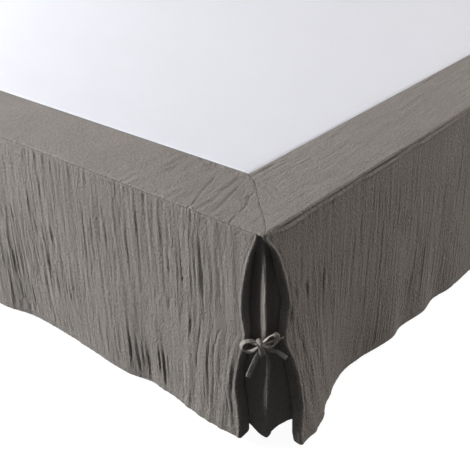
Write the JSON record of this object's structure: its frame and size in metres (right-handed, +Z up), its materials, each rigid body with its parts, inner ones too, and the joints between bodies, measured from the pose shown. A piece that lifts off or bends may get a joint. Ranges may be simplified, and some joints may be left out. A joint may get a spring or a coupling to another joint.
{
  "type": "bed skirt on bed base",
  "caption": "Plain gauze bed skirt with a mitred top band, straight drops and split corners closed by tube ties, hanging over a plain bed base on feet.",
  "frame": {"origin": "centre of the whole object's outline, on the floor", "axes": "+Y towards the head of the bed, -Y towards the foot, +X to the right seen from the foot, +Z up"},
  "size_m": [1.6456, 2.0468, 0.412],
  "materials": {
    "taupe_gauze": "crinkled cotton double gauze, matte",
    "white_cotton": "smooth white cotton, matte",
    "base_fabric": "plain woven cover, matte",
    "foot_wood": "satin turned wood"
  },
  "bodies": {
    "root": {"deck_panel": "white_cotton", "band_left": "taupe_gauze", "band_right": "taupe_gauze", "band_foot": "taupe_gauze", "drop_left": "taupe_gauze", "drop_right": "taupe_gauze", "drop_foot": "taupe_gauze", "underlay_left": "taupe_gauze", "underlay_right": "taupe_gauze", "tie_side_left": "taupe_gauze", "tie_foot_left": "taupe_gauze", "tie_side_right": "taupe_gauze", "tie_foot_right": "taupe_gauze", "tail_side_left": "taupe_gauze", "tail_foot_left": "taupe_gauze", "tail_side_right": "taupe_gauze", "tail_foot_right": "taupe_gauze", "bed_base": "base_fabric", "bed_foot_foot_left": "foot_wood", "bed_foot_foot_right": "foot_wood", "bed_foot_head_left": "foot_wood", "bed_foot_head_right": "foot_wood"}
  },
  "joints": []
}
